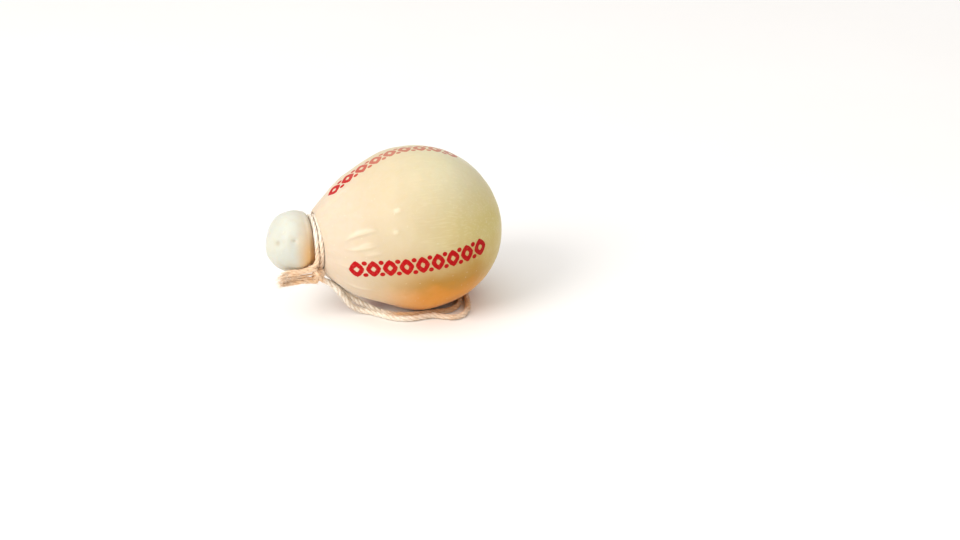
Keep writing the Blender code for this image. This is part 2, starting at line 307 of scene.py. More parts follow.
knot_middle_along = sum(TURN_AT) / 2 + KNOT_SHIFT
knot_middle = neck_place(knot_middle_along, KNOT_ANGLE, NECK_RADIUS + DRAWN_DIAMETER + KNOT_OUT)
outwards = cos(KNOT_ANGLE) * UP + sin(KNOT_ANGLE) * TO_FRONT
along_turns = -sin(KNOT_ANGLE) * UP + cos(KNOT_ANGLE) * TO_FRONT
knot_line = []
for count in range(KNOT_POINTS):
    t = 2 * pi * count / KNOT_POINTS
    knot_line.append(
        knot_middle
        + KNOT_SCALE.x * (sin(t) + 2 * sin(2 * t)) * along_turns
        + KNOT_SCALE.y * (cos(t) - 2 * cos(2 * t)) * AXIS
        - KNOT_SCALE.z * sin(3 * t) * outwards
    )
knot_parts = [lay_twine("twine_knot", knot_line, seed=17, closed=True)]

# %% From the knot into the free twine
INTO_TWINE = 8                      # points of the free line that each short piece overlaps


def join(parts):
    """The last of the parts takes in the others."""
    select_only(*parts)
    bpy.ops.object.join()
    return parts[-1]


for seed, line in ((41, upper_tail_line), (42, lower_tail_line), (43, loop_line), (44, loop_line[::-1])):
    out_of_knot = evenly([knot_middle, line[0], line[INTO_TWINE]], RING_STEP)
    knot_parts.insert(0, lay_twine(f"from_knot_{seed}", out_of_knot, seed=seed, thickness=0.98))

# %% From the second turn into the upper end
LEAVING_ROUTE = (
    (-0.0659, -0.0242, 0.0690), (-0.0660, -0.0245, 0.0645), (-0.0668, -0.0247, 0.0606),
    (-0.0686, -0.0247, 0.0578), (-0.0714, -0.0243, 0.0558), (-0.0750, -0.0239, 0.0544),
    (-0.0795, -0.0237, 0.0532),
)
leaving_line = evenly(smooth_route(LEAVING_ROUTE), RING_STEP)
knot_parts.insert(0, lay_twine("leaving", leaving_line, seed=45, thickness=DRAWN_SHARE))
knot = join(knot_parts)
tell(knot)

# %% [markdown]
# ## Untwisted yarns
# Both cut ends have come untwisted: their plies part, spread out and thin away. Each one is a small twine of
# its own, laid along a few points from inside the end to a tip.

# %% Untwisted yarns
YARN_THICKNESS = 0.42               # of the twine's own
UPPER_YARNS = (
    ((-0.0800, -0.0240, 0.0530), (-0.0885, -0.0242, 0.0542),
     (-0.0950, -0.0234, 0.0537), (-0.0992, -0.0226, 0.0524)),
    ((-0.0790, -0.0240, 0.0515), (-0.0880, -0.0245, 0.0502),
     (-0.0950, -0.0235, 0.0494), (-0.1006, -0.0222, 0.0484)),
    ((-0.0770, -0.0225, 0.0510), (-0.0850, -0.0220, 0.0484),
     (-0.0920, -0.0215, 0.0470), (-0.0985, -0.0205, 0.0460)),
    ((-0.0665, -0.0215, 0.0480), (-0.0740, -0.0218, 0.0474),
     (-0.0820, -0.0216, 0.0468), (-0.0905, -0.0212, 0.0452),
     (-0.0955, -0.0206, 0.0450)),
)
LOWER_YARNS = (
    ((-0.0700, -0.0190, 0.0405), (-0.0780, -0.0195, 0.0428),
     (-0.0870, -0.0200, 0.0438), (-0.0955, -0.0200, 0.0444)),
    ((-0.0800, -0.0180, 0.0395), (-0.0890, -0.0180, 0.0388),
     (-0.0960, -0.0178, 0.0390), (-0.1006, -0.0180, 0.0406)),
    ((-0.0790, -0.0175, 0.0402), (-0.0880, -0.0168, 0.0415),
     (-0.0955, -0.0165, 0.0421), (-0.1000, -0.0165, 0.0418)),
    ((-0.0665, -0.0195, 0.0425), (-0.0750, -0.0196, 0.0440),
     (-0.0830, -0.0194, 0.0446), (-0.0910, -0.0190, 0.0430)),
)


def lay_yarns(name, routes, seed):
    """Several thin twines as one piece, and their lines."""
    lines = [wandering(evenly(smooth_route(route), RING_STEP), seed + number)
             for number, route in enumerate(routes)]
    yarns = [lay_twine(name, line, seed + number, thickness=YARN_THICKNESS, thin_ends=20)
             for number, line in enumerate(lines)]
    return join(yarns), lines


upper_yarns, upper_yarn_lines = lay_yarns("twine_yarns_upper", UPPER_YARNS, 51)
lower_yarns, lower_yarn_lines = lay_yarns("twine_yarns_lower", LOWER_YARNS, 61)
upper_yarns.name, lower_yarns.name = "twine_yarns_upper", "twine_yarns_lower"
tell(upper_yarns)
tell(lower_yarns)

# %% [markdown]
# ## Loose fibres
# What makes twine look like twine is its hair. Each fibre is one thin, tapered strand of a few faces. They
# start in the twine and bend away from it. The two loose ends have frayed into a brush of longer fibres.

# %% Fibres along a line
FIBRE_RADIUS = 0.00009
TAPER = 0.75                        # a fibre loses this share of its thickness by its tip
HAIR_LENGTHS = (0.003, 0.0080)
HAIR_LIFTS = (0.05, 0.45)           # how far a hair stands off, before it is spread by LIFT_POWER
LIFT_POWER = 1.4
HAIR_POINTS = 5
HAIR_ROOT = 0.40                    # of the twine's diameter, from its middle to where a hair starts
HAIR_FLOOR = 0.0003                 # no hair comes nearer to the floor
STRAY_POINTS = (12, 34)             # of the twine's line, that a stray fibre lies along
STRAY_STEP = 3
STRAY_LIFTS = (0.0001, 0.0012)
STRAY_ROOT = 0.46
STRAY_FLOOR = 0.0002


def grow_fibres(name, strands):
    """One mesh of thin, tapered strands, each a few points long."""
    curve = bpy.data.curves.new(name, "CURVE")
    curve.dimensions = "3D"
    curve.bevel_depth = FIBRE_RADIUS
    curve.bevel_resolution = 0
    for strand in strands:
        spline = curve.splines.new("POLY")
        spline.points.add(len(strand) - 1)
        for number, (place, point) in enumerate(zip(spline.points, strand)):
            place.co = (*point, 1)
            place.radius = 1 - TAPER * number / (len(strand) - 1)
    fibres = bpy.data.objects.new(name, curve)
    bpy.context.collection.objects.link(fibres)
    select_only(fibres)
    bpy.ops.object.convert(target="MESH")
    fibres = bpy.context.active_object
    clean_mesh(fibres)
    tell(fibres)
    return fibres


def across_of(direction, angle):
    """A direction square to the given one, at an angle round it."""
    side = direction.cross(UP)
    if side.length < 0.1:
        side = direction.cross(TO_FRONT)
    side.normalize()
    return cos(angle) * side + sin(angle) * side.cross(direction).normalized()


def hair_along(line, count, seed, thickness=1.0):
    """Short fibres that leave the twine at a slant."""
    draw = random.Random(seed)
    strands = []
    while len(strands) < count:
        number = draw.randrange(2, len(line) - 2)
        direction = (line[number + 1] - line[number - 1]).normalized() * draw.choice((-1, 1))
        out = across_of(direction, draw.uniform(0, 2 * pi))
        reach = draw.uniform(*HAIR_LENGTHS)
        lift = draw.uniform(*HAIR_LIFTS) ** LIFT_POWER
        start = line[number] + out * TWINE_DIAMETER * thickness * HAIR_ROOT
        drift = across_of(direction, draw.uniform(0, 2 * pi)) * draw.uniform(0, 0.3)
        strand = []
        for step in range(HAIR_POINTS):
            part = step / (HAIR_POINTS - 1)
            strand.append(start + reach * (part * direction + part**1.5 * (lift * out + drift * part)))
        if min(point.z for point in strand) > HAIR_FLOOR:
            strands.append(strand)
    return strands


def strays_along(line, count, seed):
    """Long fibres that have come loose and lie along the twine."""
    draw = random.Random(seed)
    strands = []
    while len(strands) < count:
        steps = draw.randrange(*STRAY_POINTS, STRAY_STEP)
        start = draw.randrange(2, len(line) - steps - 2)
        angle = draw.uniform(0, 2 * pi)
        turning = draw.uniform(-0.06, 0.06)
        lift = draw.uniform(*STRAY_LIFTS)
        strand = []
        for step in range(0, steps, STRAY_STEP):
            number = start + step
            direction = (line[number + 1] - line[number - 1]).normalized()
            out = TWINE_DIAMETER * STRAY_ROOT + lift * sin(pi * step / steps)
            strand.append(line[number] + across_of(direction, angle + turning * step) * out)
        if min(point.z for point in strand) > STRAY_FLOOR:
            strands.append(strand)
    return strands


loop_hair = grow_fibres("twine_loop_hair",
                        hair_along(loop_line, 2200, seed=21) + strays_along(loop_line, 420, seed=24))
neck_hair = grow_fibres("twine_neck_hair",
                        hair_along(binding_line, 560, seed=22, thickness=DRAWN_SHARE)
                        + hair_along(knot_line, 200, seed=23)
                        + hair_along(leaving_line, 60, seed=25, thickness=DRAWN_SHARE))

# %% Frayed ends
FRAY_FIBRES = 150
FRAY_POINTS = 6
FRAY_LENGTHS = (0.006, 0.0115)
FRAY_SPREADS = (0.15, 0.55)         # how far the brush opens
FRAY_CURL = 0.35
FRAY_DROOP = 0.12
FRAY_ROOT = 0.38                    # of the twine's diameter, the brush's half width at its root


def frayed(line, seed):
    """A brush of fibres that opens out of the end of a line."""
    draw = random.Random(seed)
    ahead = (line[-1] - line[-6]).normalized()
    strands = []
    for _ in range(FRAY_FIBRES):
        angle = draw.uniform(0, 2 * pi)
        away = sqrt(draw.random())
        out = across_of(ahead, angle)
        root = line[-draw.randrange(6, 14)] + out * away * TWINE_DIAMETER * FRAY_ROOT
        reach = draw.uniform(*FRAY_LENGTHS)
        spread = out * away * draw.uniform(*FRAY_SPREADS)
        curl = across_of(ahead, draw.uniform(0, 2 * pi)) * draw.uniform(0, FRAY_CURL)
        strand = []
        for step in range(FRAY_POINTS):
            part = step / (FRAY_POINTS - 1)
            bend = part**2 * (spread + curl * part - FRAY_DROOP * UP)
            strand.append(root + reach * (part * ahead + bend))
        strands.append(strand)
    return strands


def hair_of_yarns(lines, seed):
    return [strand for number, line in enumerate(lines)
            for strand in hair_along(line, 45, seed + number, thickness=YARN_THICKNESS)]


upper_fray = grow_fibres("twine_fray_upper",
                         frayed(upper_tail_line, seed=31) + hair_along(upper_tail_line, 110, seed=33)
                         + hair_of_yarns(upper_yarn_lines, seed=71))
lower_fray = grow_fibres("twine_fray_lower",
                         frayed(lower_tail_line, seed=32) + hair_along(lower_tail_line, 110, seed=34)
                         + hair_of_yarns(lower_yarn_lines, seed=81))

laid = (loop, upper_tail, lower_tail, binding, knot, upper_yarns, lower_yarns)
hairy = (loop_hair, neck_hair, upper_fray, lower_fray)
for piece in laid + hairy:
    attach(piece, "root")
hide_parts("loop_cord")
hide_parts("tail_upper")
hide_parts("tail_lower")
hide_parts("neck_binding")
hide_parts("knot")
bpy.data.objects.remove(ply_section)

# %% [markdown]
# ## Cheese
# The measured model holds the cheese's true form, in flat faces. Its copy becomes the rind: the doubled
# points are merged, the triangles joined back into squares, and a Subdivision Surface rounds them. Then the
# skin gets what hands, twine and drying leave on it. These are moves of points along their normals, as a
# sculptor makes.

# %% Copy of the form
RIND_LEVELS = 2

rind = bpy.data.objects.new("rind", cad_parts["cheese"].data.copy())
bpy.context.collection.objects.link(rind)
clean_mesh(rind, merge=1e-5)
bpy.ops.object.mode_set(mode="EDIT")
bpy.ops.mesh.select_all(action="SELECT")
bpy.ops.mesh.tris_convert_to_quads(face_threshold=radians(60), shape_threshold=radians(60))
bpy.ops.object.mode_set(mode="OBJECT")
rounding = rind.modifiers.new("rounding", "SUBSURF")
rounding.levels = rounding.render_levels = RIND_LEVELS
bpy.ops.object.modifier_apply(modifier=rounding.name)
tell(rind)

# %% Where each point is on the cheese
def points_of(thing):
    places = np.zeros(len(thing.data.vertices) * 3)
    thing.data.vertices.foreach_get("co", places)
    return places.reshape(-1, 3)


def normals_of(thing):
    normals = np.zeros(len(thing.data.vertices) * 3)
    thing.data.vertex_normals.foreach_get("vector", normals)
    return normals.reshape(-1, 3)


def on_the_body(places):
    """Along the axis towards the head, round from the top towards the front, and out from the axis."""
    away = places - np.array(BALL_MIDDLE)
    up = away @ np.array(ACROSS)
    front = away @ np.array(TO_FRONT)
    return away @ np.array(AXIS), np.arctan2(front, up), np.hypot(front, up)


SHOULDER_END = 0.0890               # along the axis, where the twine starts
rind_points = points_of(rind)
along, turn, reach = on_the_body(rind_points)
print(f"along the axis from {along.min() * 1000:.0f} to {along.max() * 1000:.0f} mm")

# %% [markdown]
# ### Folds of the skin
# Where the neck was drawn together, the skin lies in soft folds that run from the twine towards the ball.
# In section a fold is a slow rise from above and a short, steep step below, so it catches the light from
# above and has a dark line under it. Close to the twine there are many small gathers as well.

# %% Gathers and folds at the neck
GATHERS = 23
GATHER_DEPTH = 0.00042
GATHER_REACH = 0.017
FOLD_STEP = 0.0013                  # how wide the steep side of a fold is
FOLDS = (                           # (along in mm, turn in degrees) of its lower edge, width above it, height
    (((46, 65), (53, 64.5), (60, 65), (65, 65.8), (70, 67), (75, 70)), 0.0044, 0.00105),
    (((47, 76), (50, 77), (57, 78.5), (62, 79), (69, 79.5), (76, 78)), 0.0036, 0.00095),
    (((49, 73.5), (59, 75), (64, 76)), 0.0016, 0.00045),
    (((44, 83.5), (56, 85), (62, 86)), 0.0034, 0.00070),
    (((66, 97), (74, 100), (84, 99)), 0.0030, 0.00050),
    (((58, 46), (70, 44), (82, 41)), 0.0036, 0.00035),
    (((54, 10), (66, 13), (80, 12)), 0.0040, 0.00045),
    (((48, -38), (62, -34), (78, -32)), 0.0046, 0.00090),
    (((58, -57), (70, -58), (83, -60)), 0.0030, 0.00060),
    (((46, -80), (58, -83), (74, -82)), 0.0042, 0.00090),
    (((60, -118), (72, -114), (84, -112)), 0.0034, 0.00060),
    (((52, 124), (64, 128), (80, 127)), 0.0036, 0.00080),
    (((54, -146), (68, -151), (80, -150)), 0.0040, 0.00080),
    (((58, 163), (70, 161), (82, 160)), 0.0034, 0.00060),
)


def aside_of(line_turn):
    """How far round the cheese each point is from a line, downwards on the front."""
    return reach * ((turn - line_turn + pi) % (2 * pi) - pi)


def fold(edge, width, height):
    places, turns = np.array(edge).T
    share = np.clip((along * 1000 - places[0]) / (places[-1] - places[0]), 0, 1)
    arch = np.sin(pi * share)
    down = aside_of(np.interp(along * 1000, places, np.radians(turns))) * np.where(turns[0] < 0, -1, 1)
    crest = down + FOLD_STEP * 0.8
    side = np.where(crest < 0, width * (0.45 + 0.55 * arch), FOLD_STEP)
    hollow = 0.35 * np.exp(-((down - 1.5 * FOLD_STEP) / FOLD_STEP) ** 2)
    return height * arch**0.6 * (np.exp(-((crest / side) ** 2)) - hollow)


fade = np.where(along < SHOULDER_END, np.exp(-((SHOULDER_END - along) / GATHER_REACH) ** 2), 0)
wave = np.sin(GATHERS * turn + 1.3 * np.sin(3 * turn) + 0.8 * np.sin(5 * turn + 1))
uneven = 0.55 + 0.45 * np.sin(2 * turn + 4.2) * np.sin(5 * turn + 0.6)
relief = -GATHER_DEPTH * fade * uneven * (0.5 - 0.5 * wave) ** 2
for edge, width, height in FOLDS:
    relief += fold(edge, width, height)
print(f"the skin is up to {relief.max() * 1000:.2f} mm raised and {-relief.min() * 1000:.2f} mm hollow")

# %% Soft dents and small bumps
BUMPS = (                           # along, turn in degrees, half length, half width, height
    (0.0275, 52.2, 0.0036, 0.0025, 0.00110),
    (0.0320, 67.5, 0.0030, 0.0024, 0.00090),
    (-0.0232, 35.5, 0.0018, 0.0013, 0.00030),
    (0.0866, 75.0, 0.0011, 0.0105, 0.00045),
    (0.0914, -34.0, 0.0014, 0.0120, 0.00050),
)
DENT_SIZES = ((38, 0.00055), (95, 0.00022), (230, 0.00006))   # how fine, how deep
HEAD_LUMPS = (85, 0.00075)          # the head is shaped by hand, so it is lumpier
HEAD_START = 0.099                  # along the axis
HEAD_BLEND = 0.008                  # the lumps grow in over this length
FLAT_REACH = 0.004                  # nothing is raised where the belly rests, and little just above

PITS = (                            # on the head: along, turn in degrees, half width along and round, depth
    (0.1299, 52.9, 0.0025, 0.0034, 0.00050),
    (0.1305, 47.5, 0.0018, 0.0020, 0.00025),
    (0.1158, 55.0, 0.0018, 0.0014, 0.00060),
    (0.1172, 61.0, 0.0030, 0.0022, 0.00025),
    (0.1215, -104, 0.0022, 0.0018, 0.00080),
)
HEAD_FOLD = (0.1036, 34, 0.0016, 0.0180, 0.00035)   # a furrow that runs round the head beside the twine

for bump_along, bump_turn, length, width, height in BUMPS:
    relief += height * np.exp(-((along - bump_along) / length) ** 2
                              - (aside_of(radians(bump_turn)) / width) ** 2)
for pit_along, pit_turn, length, width, depth in (*PITS, HEAD_FOLD):
    relief -= depth * np.exp(-((along - pit_along) / length) ** 2
                             - (aside_of(radians(pit_turn)) / width) ** 2)
skin = rind.data.attributes.new("skin", "FLOAT", "POINT")
skin.data.foreach_set("value", relief * 1000)
for fineness, depth in DENT_SIZES:
    relief += depth * np.array([noise.noise(Vector(point) * fineness) for point in rind_points])
fineness, depth = HEAD_LUMPS
relief += depth * np.clip((along - HEAD_START) / HEAD_BLEND, 0, 1) * np.array(
    [noise.noise(Vector(point) * fineness + Vector((4, 0, 0))) for point in rind_points])
flat = np.clip(rind_points[:, 2] / FLAT_REACH, 0, 1)
rind_points += normals_of(rind) * (relief * flat)[:, None]
rind.data.vertices.foreach_set("co", rind_points.ravel())
rind.data.update()
print("the rind has its relief")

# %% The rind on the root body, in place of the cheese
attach(rind, "root")
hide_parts("cheese")

# %% [markdown]
# ## Materials
# A material here is a few nodes: patterns in the object's own coordinates, mixed into a colour, a roughness
# and a height. A short helper keeps each node on one line.

# %% Node helpers
class Nodes:
    """Adds nodes to a tree, each with its inputs given as values or as other nodes' outputs."""

    def __init__(self, tree):
        self.tree = tree

    def add(self, kind, *inputs, **settings):
        node = self.tree.nodes.new("ShaderNode" + kind)
        for name, value in settings.items():
            setattr(node, name, value)
        for socket, value in inputs:
            self.set(node.inputs[socket], value)
        return node

    def set(self, socket, value):
        if isinstance(value, bpy.types.NodeSocket):
            self.tree.links.new(value, socket)
        else:
            socket.default_value = value

    def math(self, operation, *values):
        node = self.add("Math", *enumerate(values), operation=operation)
        return node.outputs[0]

    def vector_math(self, operation, *values):
        node = self.add("VectorMath", *enumerate(values), operation=operation)
        return node.outputs["Value" if operation == "DOT_PRODUCT" else "Vector"]

    def ramp(self, value, low, high, from_value=0.0, to_value=1.0):
        node = self.add("MapRange", ("Value", value), ("From Min", low), ("From Max", high),
                        ("To Min", from_value), ("To Max", to_value), interpolation_type="SMOOTHSTEP")
        return node.outputs["Result"]

    def noise(self, vector, scale, detail=2.0, roughness=0.5):
        node = self.add("TexNoise", ("Vector", vector), ("Scale", scale), ("Detail", detail),
                        ("Roughness", roughness))
        return node.outputs["Fac"]

    def mix(self, share, first, second, blend="MIX"):
        node = self.add("Mix", (0, share), (6, first), (7, second), data_type="RGBA", blend_type=blend)
        return node.outputs[2]


def new_material(name):
    material = bpy.data.materials.new(name)
    material.use_nodes = True
    material.node_tree.nodes.clear()
    nodes = Nodes(material.node_tree)
    shader = nodes.add("BsdfPrincipled")
    output = nodes.add("OutputMaterial")
    material.node_tree.links.new(shader.outputs["BSDF"], output.inputs["Surface"])
    return material, nodes, shader


def colour(red, green, blue):
    """A colour as it looks on the screen, 0 to 255, made linear for the shader."""
    return tuple(((c / 255 + 0.055) / 1.055) ** 2.4 if c > 10 else c / 255 / 12.92
                 for c in (red, green, blue)) + (1,)


# %% [markdown]
# ### Rind
# The rind is cream, lighter on the head and more golden towards the blunt end, with pale specks and fine
# streaks. Its colour also holds painted light and shade: a lighter top, amber painted shade with a warm
# painted reflection on the belly, painted shade in the neck's groove and on the head's side beside it, and
# painted highlights and shade on the folds. A thin, clear film gives it its soft gloss. The printed ornament
# runs in
# four lines from the neck over the ball: lozenges with dots between them, in red ink, fainter on the top line
# under a painted highlight. It is worked out from each point's place along and round the cheese, so it
# follows the surface.

# %% Ornament
PRINT_MIDDLE = BALL_MIDDLE - 0.0052 * UP - 0.0030 * TO_FRONT
PRINT_TILT = radians(7.3)           # the lines of print droop a little towards the head
PRINT_AXIS = (-cos(PRINT_TILT), 0, -sin(PRINT_TILT))
PRINT_ACROSS = (-sin(PRINT_TILT), 0, cos(PRINT_TILT))
PRINT_FROM = -0.050                 # along the axis, where each line starts
MOTIF_LENGTH = 0.0138
MOTIFS = 9                          # in a line
PRINT_TURN = radians(-1)            # the uppermost line, from the top towards the front
LINES_APART = radians(90)
LOZENGE = (0.0062, 0.0082)          # half length, half width
LOZENGE_BULGE = 1.4                 # its sides are a little round, where 1 would make them straight
DOT_ASIDE = 0.0060
DOT_RADIUS = 0.0022


def ornament(nodes, place):
    """A mask that is 1 where there is ink."""
    away = nodes.vector_math("SUBTRACT", place, tuple(PRINT_MIDDLE))
    along = nodes.vector_math("DOT_PRODUCT", away, PRINT_AXIS)
    up = nodes.vector_math("DOT_PRODUCT", away, PRINT_ACROSS)
    front = nodes.vector_math("DOT_PRODUCT", away, tuple(TO_FRONT))
    turn = nodes.math("ARCTAN2", front, up)
    reach = nodes.math("SQRT", nodes.math("ADD", nodes.math("MULTIPLY", up, up),
                                          nodes.math("MULTIPLY", front, front)))
    turn = nodes.math("WRAP", nodes.math("SUBTRACT", turn, PRINT_TURN), LINES_APART / 2, -LINES_APART / 2)
    aside = nodes.math("ABSOLUTE", nodes.math("MULTIPLY", turn, reach))
    gone = nodes.math("SUBTRACT", along, PRINT_FROM)
    cell = nodes.math("ABSOLUTE", nodes.math("SUBTRACT", nodes.math("WRAP", gone, MOTIF_LENGTH, 0),
                                             MOTIF_LENGTH / 2))
    ragged = nodes.math("MULTIPLY", nodes.math("SUBTRACT", nodes.noise(place, 900, 3.0), 0.5), 0.25)
    lozenge = nodes.math("ADD", *(nodes.math("POWER", nodes.math("DIVIDE", way, half), LOZENGE_BULGE)
                                  for way, half in zip((cell, aside), LOZENGE)))
    lozenge = nodes.math("ADD", lozenge, ragged)
    solid = nodes.math("SUBTRACT", nodes.ramp(lozenge, 1.05, 0.95), nodes.ramp(lozenge, 0.24, 0.16))
    to_dot = nodes.math("SUBTRACT", MOTIF_LENGTH / 2, cell)
    dot_aside = nodes.math("SUBTRACT", aside, DOT_ASIDE)
    dot = nodes.math("SQRT", nodes.math("ADD", nodes.math("MULTIPLY", to_dot, to_dot),
                                        nodes.math("MULTIPLY", dot_aside, dot_aside)))
    dot = nodes.math("ADD", nodes.math("DIVIDE", dot, DOT_RADIUS), ragged)
    middle, half = MOTIFS * MOTIF_LENGTH / 2, MOTIF_LENGTH / 2
    lozenges = nodes.math("MULTIPLY", solid, nodes.math("COMPARE", gone, middle, middle))
    between = nodes.math("COMPARE", gone, middle, middle - half)
    dots = nodes.math("MULTIPLY", nodes.ramp(dot, 1.12, 0.88), between)
    return nodes.math("MAXIMUM", lozenges, dots)


# %% Rind material
CREAM = colour(205, 188, 157)
GOLDEN = colour(206, 188, 116)
TOP_PAINTED_LIGHT = colour(219, 211, 176)
NECK_CREAM = colour(208, 189, 168)
HEAD_WHITE = colour(202, 203, 192)
HEAD_TIP = colour(190, 193, 184)
HEAD_SHADE = colour(228, 176, 104)
CREVICE_PAINTED_SHADE = colour(150, 96, 44)
# Colours of the painted shade and the painted warm reflection on the belly.
OCHRE_PAINTED_SHADE = colour(178, 126, 34)
ORANGE_PAINTED_REFLECTION = colour(214, 138, 36)
INK_RED = colour(176, 0, 10)
STREAK_SCALE = (60, 700, 700)       # fine streaks run along the cheese

rind_material, nodes, shader = new_material("rind")
place = nodes.add("TexCoord").outputs["Object"]
xyz = nodes.add("SeparateXYZ", ("Vector", place))
x, z = xyz.outputs["X"], xyz.outputs["Z"]
cloudy = nodes.noise(place, 32, 3.0)
mottled = nodes.noise(place, 190, 4.0, 0.6)
drift = nodes.math("MULTIPLY", nodes.math("SUBTRACT", cloudy, 0.5), 0.035)
wavy_x, wavy_z = nodes.math("ADD", x, drift), nodes.math("ADD", z, drift)
golden = nodes.math("MULTIPLY", nodes.ramp(wavy_x, -0.015, 0.095), nodes.ramp(z, 0.155, 0.095, 0.25, 1.0))
tone = nodes.mix(golden, CREAM, GOLDEN)
# Painted light: the top of the ball towards the blunt end is made lighter.
painted_top_light = nodes.math("MULTIPLY", nodes.ramp(z, 0.092, 0.146), nodes.ramp(x, -0.010, 0.064))
tone = nodes.mix(nodes.math("MULTIPLY", painted_top_light, 0.9), tone, TOP_PAINTED_LIGHT)
tone = nodes.mix(nodes.ramp(x, -0.005, -0.055), tone, NECK_CREAM)
tone = nodes.mix(nodes.ramp(x, -0.060, -0.072), tone, HEAD_WHITE)
tone = nodes.mix(nodes.ramp(x, -0.084, -0.106), tone, HEAD_TIP)
# Painted shade with a warm painted reflection: amber on the head's side next to the neck.
head_side_painted_shade = nodes.math("MULTIPLY", nodes.ramp(x, -0.089, -0.072), nodes.ramp(z, 0.108, 0.064))
head_side_painted_shade = nodes.math("MULTIPLY", head_side_painted_shade, nodes.ramp(x, -0.064, -0.069))
tone = nodes.mix(nodes.math("MULTIPLY", head_side_painted_shade, 0.90), tone, HEAD_SHADE)
# Painted shade: brown in the groove between the head and the shoulder, fading out near the top.
crevice_painted_shade = nodes.math("MULTIPLY", nodes.ramp(x, -0.0738, -0.0705), nodes.ramp(x, -0.0600, -0.0635))
crevice_painted_shade = nodes.math("MULTIPLY", crevice_painted_shade, nodes.ramp(z, 0.091, 0.077, 0.05, 1.0))
tone = nodes.mix(nodes.math("MULTIPLY", crevice_painted_shade, 0.80), tone, CREVICE_PAINTED_SHADE)
tone = nodes.mix(nodes.ramp(mottled, 0.35, 0.75, 0.0, 0.16), tone, colour(206, 184, 128))
tone = nodes.mix(nodes.ramp(cloudy, 0.40, 0.70, 0.0, 0.16), tone, colour(222, 209, 180))
drawn_out = nodes.add("Mapping", ("Vector", place), ("Scale", STREAK_SCALE)).outputs["Vector"]
streaks = nodes.math("MULTIPLY", nodes.ramp(nodes.noise(drawn_out, 1.0), 0.48, 0.68, 0.0, 0.22),
                     nodes.ramp(x, -0.010, 0.050))
tone = nodes.mix(streaks, tone, colour(228, 218, 176))
# Painted shade: the underside is made amber and darker, deepest in an ochre band, with a warm orange painted
# reflection at the very bottom.
painted_belly_shade = nodes.math("MULTIPLY", nodes.ramp(wavy_z, 0.092, 0.040), nodes.ramp(wavy_x, -0.040, 0.034))
painted_belly_shade = nodes.math("MULTIPLY", painted_belly_shade, nodes.ramp(x, 0.112, 0.066))
belly_shade_tone = nodes.mix(nodes.ramp(wavy_z, 0.050, 0.028), OCHRE_PAINTED_SHADE, ORANGE_PAINTED_REFLECTION)
tone = nodes.mix(nodes.math("MULTIPLY", painted_belly_shade, 0.96), tone, belly_shade_tone)
specks = nodes.ramp(nodes.noise(place, 330, 1.0), 0.70, 0.80, 0.0, 0.22)
tone = nodes.mix(specks, tone, colour(232, 226, 196))
skin = nodes.add("Attribute", attribute_name="skin", attribute_type="GEOMETRY").outputs["Fac"]
# Painted highlight on raised folds and bumps, and painted shade in hollows, pits and below the folds.
tone = nodes.mix(nodes.ramp(skin, 0.20, 0.90, 0.0, 0.50), tone, colour(228, 217, 192))
tone = nodes.mix(nodes.ramp(skin, -0.20, -1.00, 0.0, 0.70), tone, colour(178, 146, 92))
ink = ornament(nodes, place)
worn = nodes.ramp(nodes.noise(place, 520, 3.0, 0.6), 0.30, 0.52, 0.93, 1.0)
# Painted highlight: the ink of the top line is made fainter, as if washed out by light.
ink_paled_by_painted_highlight = nodes.ramp(z, 0.120, 0.146, 1.0, 0.66)
tone = nodes.mix(nodes.math("MULTIPLY", nodes.math("MULTIPLY", ink, worn), ink_paled_by_painted_highlight), tone, INK_RED)
nodes.set(shader.inputs["Base Color"], tone)
nodes.set(shader.inputs["Roughness"], nodes.math("MAXIMUM", nodes.ramp(mottled, 0.3, 0.7, 0.48, 0.62), ink))
nodes.set(shader.inputs["Subsurface Weight"], nodes.ramp(ink, 0.0, 1.0, 0.30, 0.0))
pores = nodes.noise(place, 1400, 2.0)
height = nodes.math("ADD", nodes.math("MULTIPLY", mottled, 0.6), nodes.math("MULTIPLY", pores, 0.12))
bump = nodes.add("Bump", ("Height", height), ("Strength", 0.25), ("Distance", 0.0006))
nodes.set(shader.inputs["Normal"], bump.outputs["Normal"])
shader.inputs["Specular IOR Level"].default_value = 0.18
shader.inputs["Subsurface Radius"].default_value = (1.0, 0.55, 0.28)
shader.inputs["Subsurface Scale"].default_value = 0.006
shader.inputs["Coat Weight"].default_value = 0.06
shader.inputs["Coat Roughness"].default_value = 0.20
shader.inputs["IOR"].default_value = 1.46
shader.inputs["Sheen Weight"].default_value = 0.3
shader.inputs["Sheen Roughness"].default_value = 0.30
rind.data.materials.clear()
rind.data.materials.append(rind_material)
print("rind material with", len(rind_material.node_tree.nodes), "nodes")

# %% [markdown]
# ### Twine
# Natural fibre is pale and matt, with painted shade where the plies meet. The UV map runs along the twine and
# round it, so fine streaks can follow the fibres. Painted shade at the knot, on the loose ends and where the
# twine lies under the blunt end and against the belly is a node group, as twine and loose fibres share it.

# %% Painted shade on the twine
# Tint of the painted shade on the twine.
TWINE_SHADE_TINT = colour(240, 204, 164)

twine_shade_group = bpy.data.node_groups.new("painted_shade_on_twine", "ShaderNodeTree")
for name, kind, way in (("Place", "Vector", "INPUT"), ("Fibre", "Color", "INPUT"),
                        ("Strength", "Float", "INPUT"), ("Colour", "Color", "OUTPUT")):
    twine_shade_group.interface.new_socket(name, in_out=way, socket_type="NodeSocket" + kind)
nodes = Nodes(twine_shade_group)
given = twine_shade_group.nodes.new("NodeGroupInput").outputs
result = twine_shade_group.nodes.new("NodeGroupOutput").inputs
xyz = nodes.add("SeparateXYZ", ("Vector", given["Place"]))
x, y, z = (xyz.outputs[way] for way in "XYZ")
